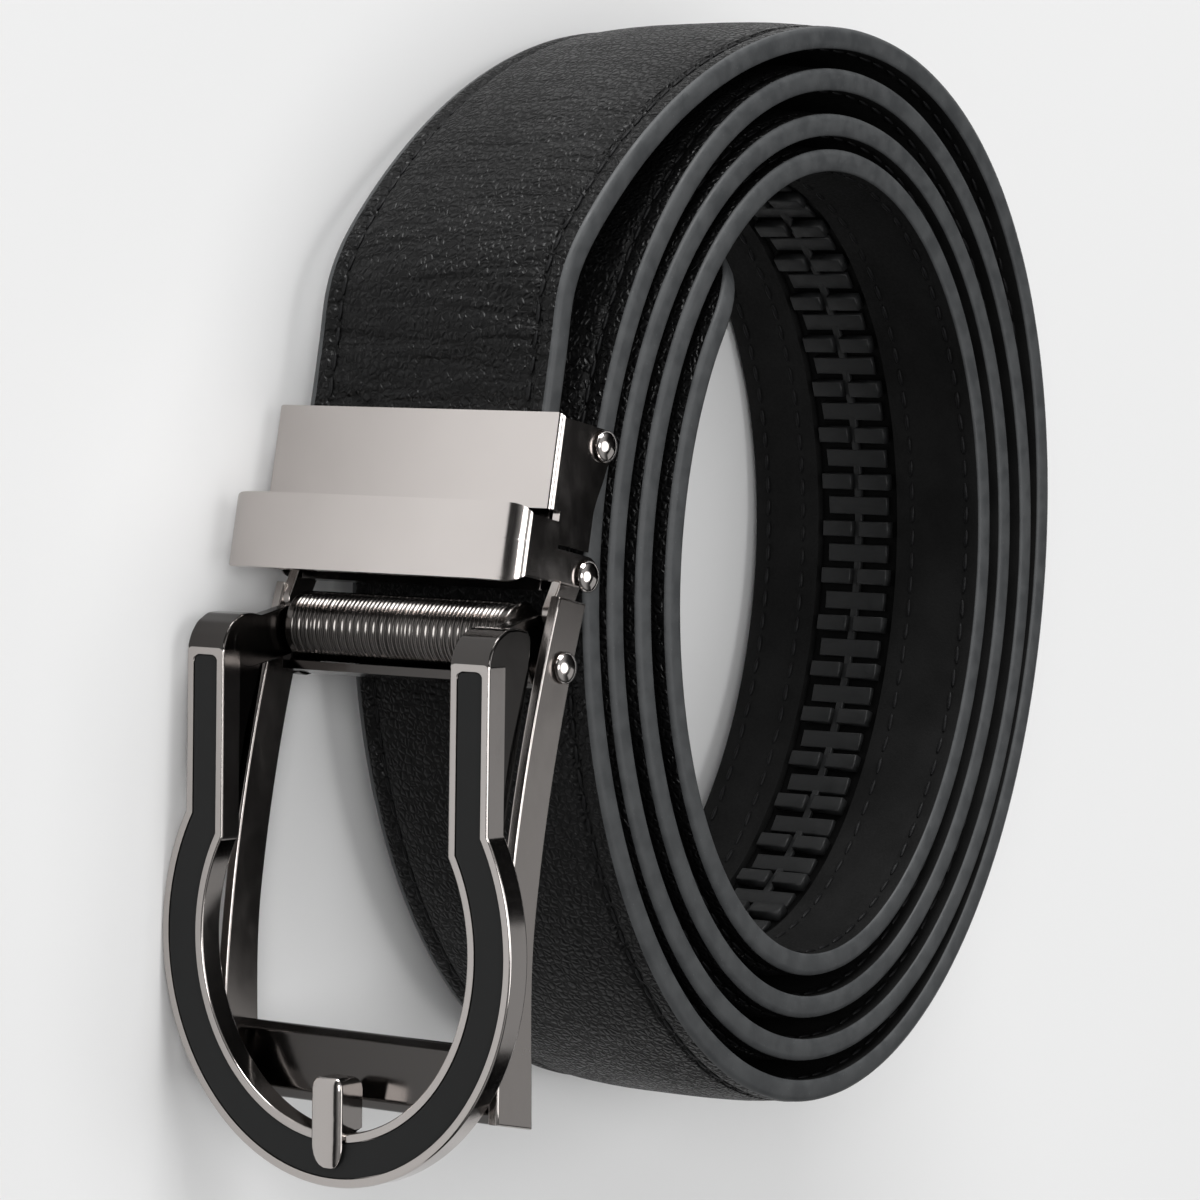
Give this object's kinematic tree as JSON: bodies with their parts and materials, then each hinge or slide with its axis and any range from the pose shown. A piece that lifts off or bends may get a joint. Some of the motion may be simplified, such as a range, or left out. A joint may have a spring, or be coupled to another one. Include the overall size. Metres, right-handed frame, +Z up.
{
  "type": "ratchet belt",
  "caption": "Leather ratchet belt coiled on its edge, with an automatic buckle: clamp, keeper loop, open frame, ribbed barrel and a horseshoe lever with a prong.",
  "frame": {"origin": "centre of the footprint, on the surface the belt rests on", "axes": "+Z up, almost along the axis of the coil; +Y along the coil's longer diameter, from the buckle's free end towards its clamp; -X to the side where the buckle lies"},
  "size_m": [0.1256, 0.1382, 0.0515],
  "materials": {
    "leather": "pebbled black, satin",
    "track": "matte black nylon",
    "gunmetal": "polished black nickel",
    "enamel": "satin charcoal enamel"
  },
  "bodies": {
    "belt": {"strap": "leather", "ratchet_track": "track", "clamp_housing": "gunmetal", "clamp_jaw": "gunmetal", "keeper_loop": "gunmetal", "frame": "gunmetal", "clamp_pin": "gunmetal", "keeper_pin": "gunmetal", "lever_rivet_low": "gunmetal", "lever_rivet_high": "gunmetal"},
    "lever": {"lever_ring": "gunmetal", "inlay": "enamel", "ribbed_barrel": "gunmetal", "prong": "gunmetal"}
  },
  "joints": [
    {"name": "lever_swing", "type": "hinge", "parent": "belt", "child": "lever", "pos_m": [-0.04664, -0.00912, 0.0241], "axis": [-0.0488, -0.0323, -0.9983], "range_deg": [0, 25], "stiffness_Nm_per_rad": 0.08, "springref_deg": -20.05}
  ]
}
